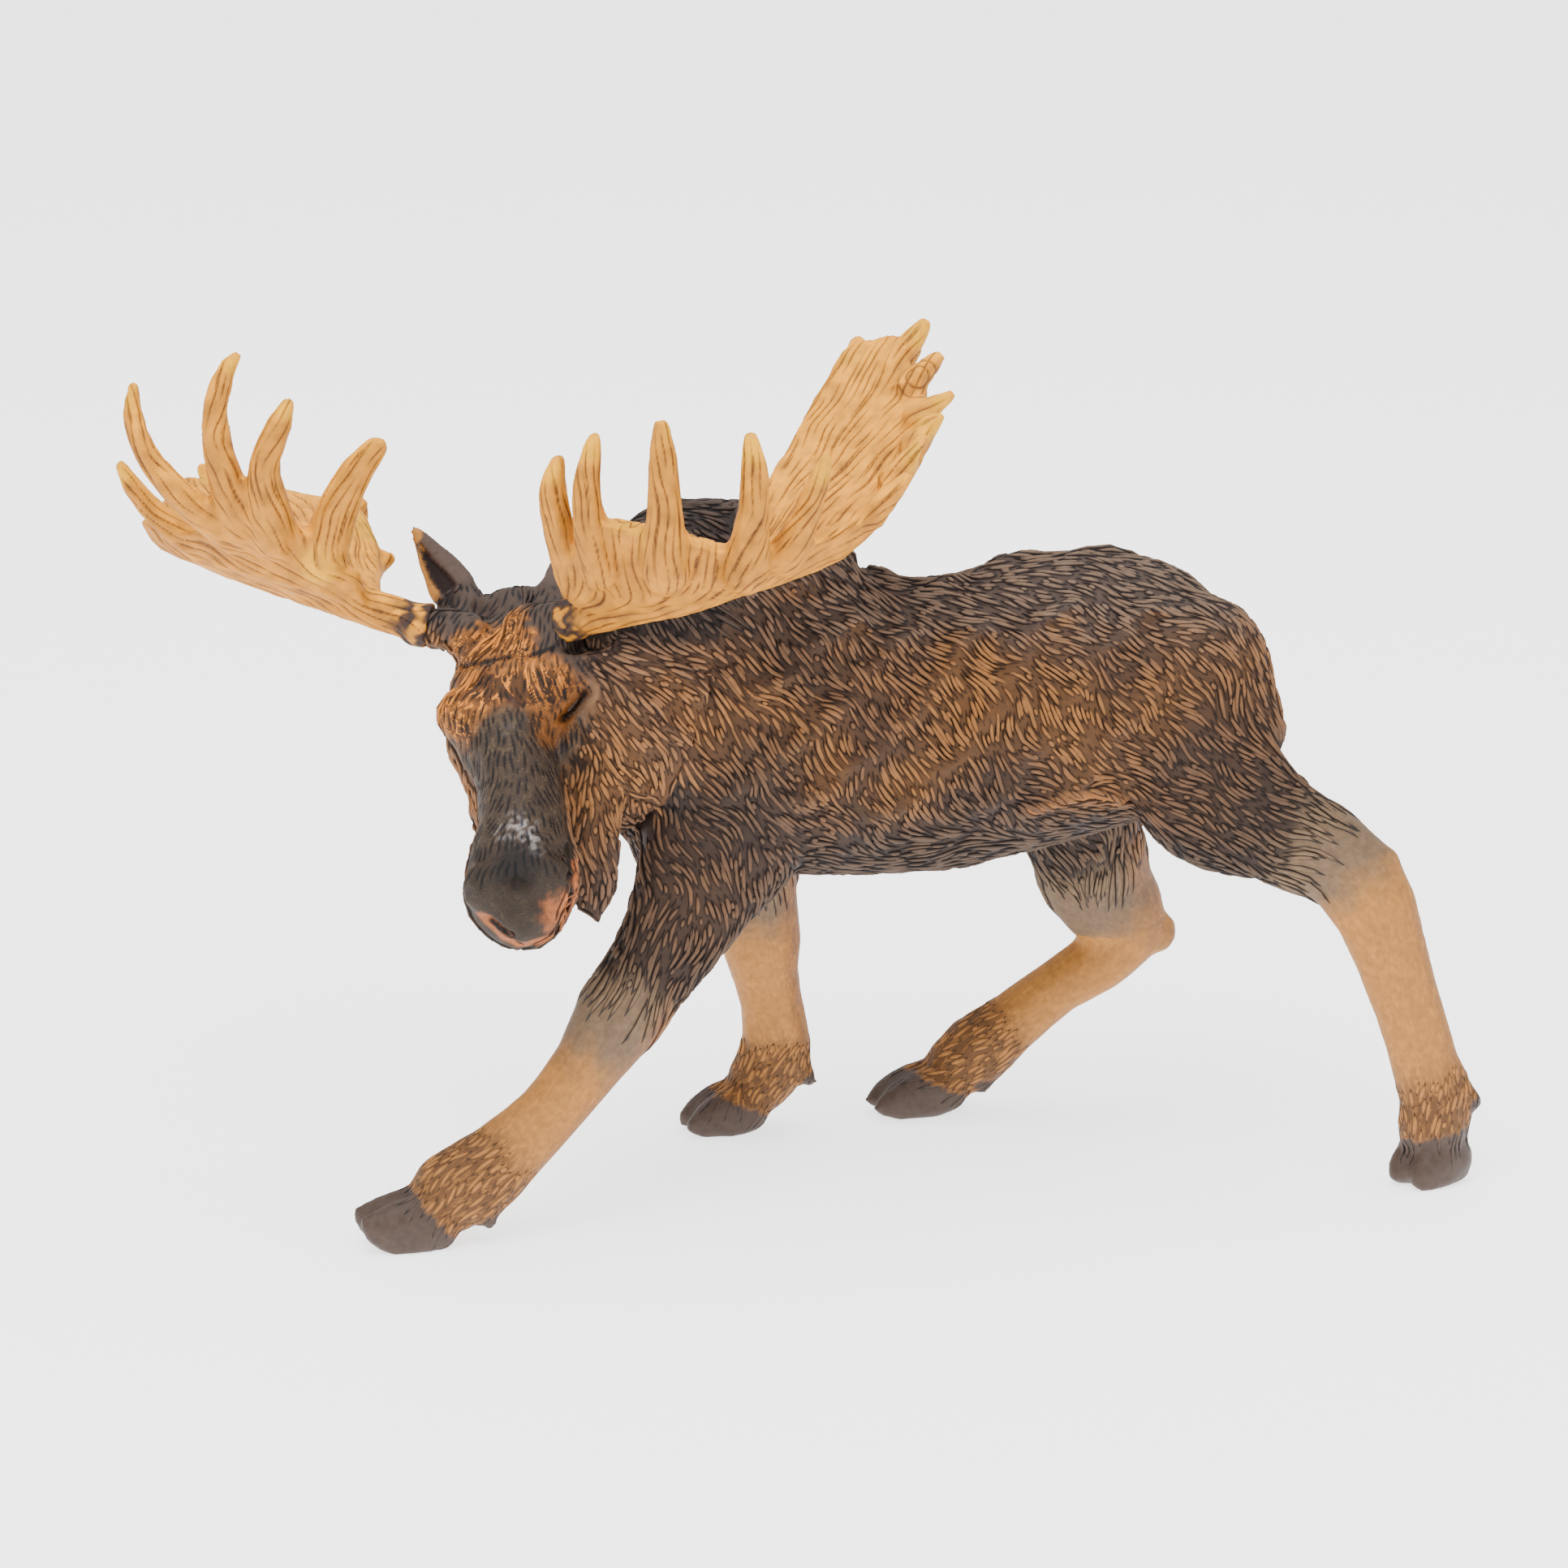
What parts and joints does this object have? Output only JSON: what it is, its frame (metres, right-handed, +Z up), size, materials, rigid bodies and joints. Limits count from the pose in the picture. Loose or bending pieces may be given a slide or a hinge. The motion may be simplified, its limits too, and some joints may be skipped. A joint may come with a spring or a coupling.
{
  "type": "moose figurine",
  "caption": "Moulded, hand-painted plastic figurine of a striding bull moose with lowered head and broad palmate antlers.",
  "frame": {"origin": "centre of the bounding box on the floor the hooves stand on", "axes": "+Z up, -X the way the moose strides, -Y the moose's left side"},
  "size_m": [0.1516, 0.0779, 0.1001],
  "materials": {
    "body": "moulded fur, painted brown with dry-brushed orange crests and tan legs",
    "head": "moulded fur, painted grey-brown with an orange forehead",
    "antler_left": "tan plastic with brown wash in its grooves",
    "antler_right": "tan plastic with brown wash in its grooves"
  },
  "bodies": {
    "root": {"body": "body", "head": "head", "antler_left": "antler_left", "antler_right": "antler_right"}
  },
  "joints": []
}
